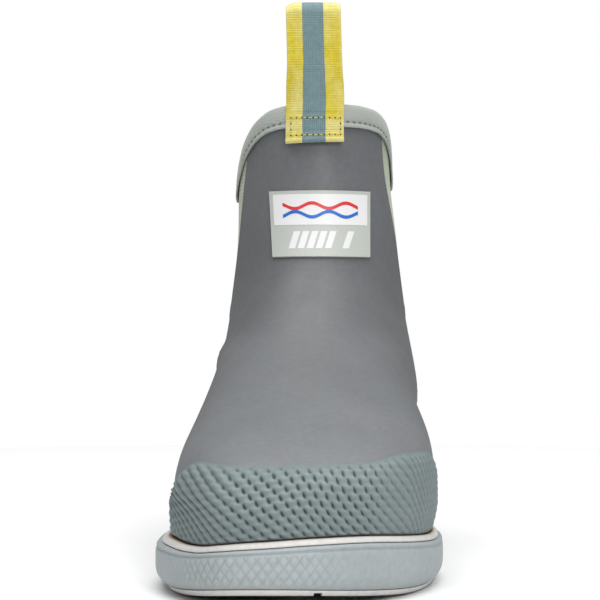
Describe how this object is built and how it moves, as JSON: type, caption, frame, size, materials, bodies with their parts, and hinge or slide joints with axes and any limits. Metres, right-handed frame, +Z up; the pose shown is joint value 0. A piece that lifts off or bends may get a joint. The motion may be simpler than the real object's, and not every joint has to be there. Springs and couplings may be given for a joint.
{
  "type": "deck boot",
  "caption": "Ankle-high slip-on rubber deck boot for the left foot, with side stretch gores, scale-embossed toe cap, wrapped sole and webbing pull loops.",
  "frame": {"origin": "on the ground, under the middle of the boot's bounding box", "axes": "+Z up, toe towards -Y, heel towards +Y, outer side of the left foot towards +X"},
  "size_m": [0.115, 0.3022, 0.2446],
  "materials": {
    "cream_rubber": "matte, slightly dusty",
    "grey_sidewall_rubber": "matte",
    "midsole_foam": "closed-cell foam, matte",
    "shank_steel": "plain",
    "insole_board_fibre": "pressed fibre, matte",
    "footbed_textile": "fine textile over foam",
    "lining_knit": "knitted, matte",
    "upper_rubber": "smooth matte with a soft sheen",
    "scale_rubber": "matte, embossed",
    "stiffener_sheet": "impregnated felt sheet",
    "gore_elastic": "ribbed elastic",
    "collar_trim": "coated fabric, matte",
    "label_film": "printed film, satin",
    "strap_webbing": "ribbed polyester webbing"
  },
  "bodies": {
    "root": {"outsole": "cream_rubber", "welt_strip": "cream_rubber", "foxing_tape": "grey_sidewall_rubber", "midsole_core": "midsole_foam", "shank": "shank_steel", "insole_board": "insole_board_fibre", "footbed": "footbed_textile", "bootie_lining": "lining_knit", "upper_shell": "upper_rubber", "back_stay": "upper_rubber", "toe_cap": "scale_rubber", "heel_guard": "scale_rubber", "toe_puff": "stiffener_sheet", "heel_stiffener": "stiffener_sheet", "gore_lateral": "gore_elastic", "gore_medial": "gore_elastic", "collar_binding": "collar_trim", "label_patch": "label_film", "front_strap_outer_end": "strap_webbing", "front_strap_inner_end": "strap_webbing", "rear_strap_outer_end": "strap_webbing", "rear_strap_inner_end": "strap_webbing"},
    "front_loop": {"front_pull_loop": "strap_webbing"},
    "rear_loop": {"rear_pull_loop": "strap_webbing"}
  },
  "joints": [
    {"name": "front_loop_fold", "type": "hinge", "parent": "root", "child": "front_loop", "pos_m": [0.0055, 0.03612, 0.2061], "axis": [1, 0, 0], "range_deg": [-70, 70], "stiffness_Nm_per_rad": 0.02},
    {"name": "rear_loop_fold", "type": "hinge", "parent": "root", "child": "rear_loop", "pos_m": [0.009, 0.14178, 0.1956], "axis": [1, 0, 0], "range_deg": [-70, 70], "stiffness_Nm_per_rad": 0.02}
  ]
}
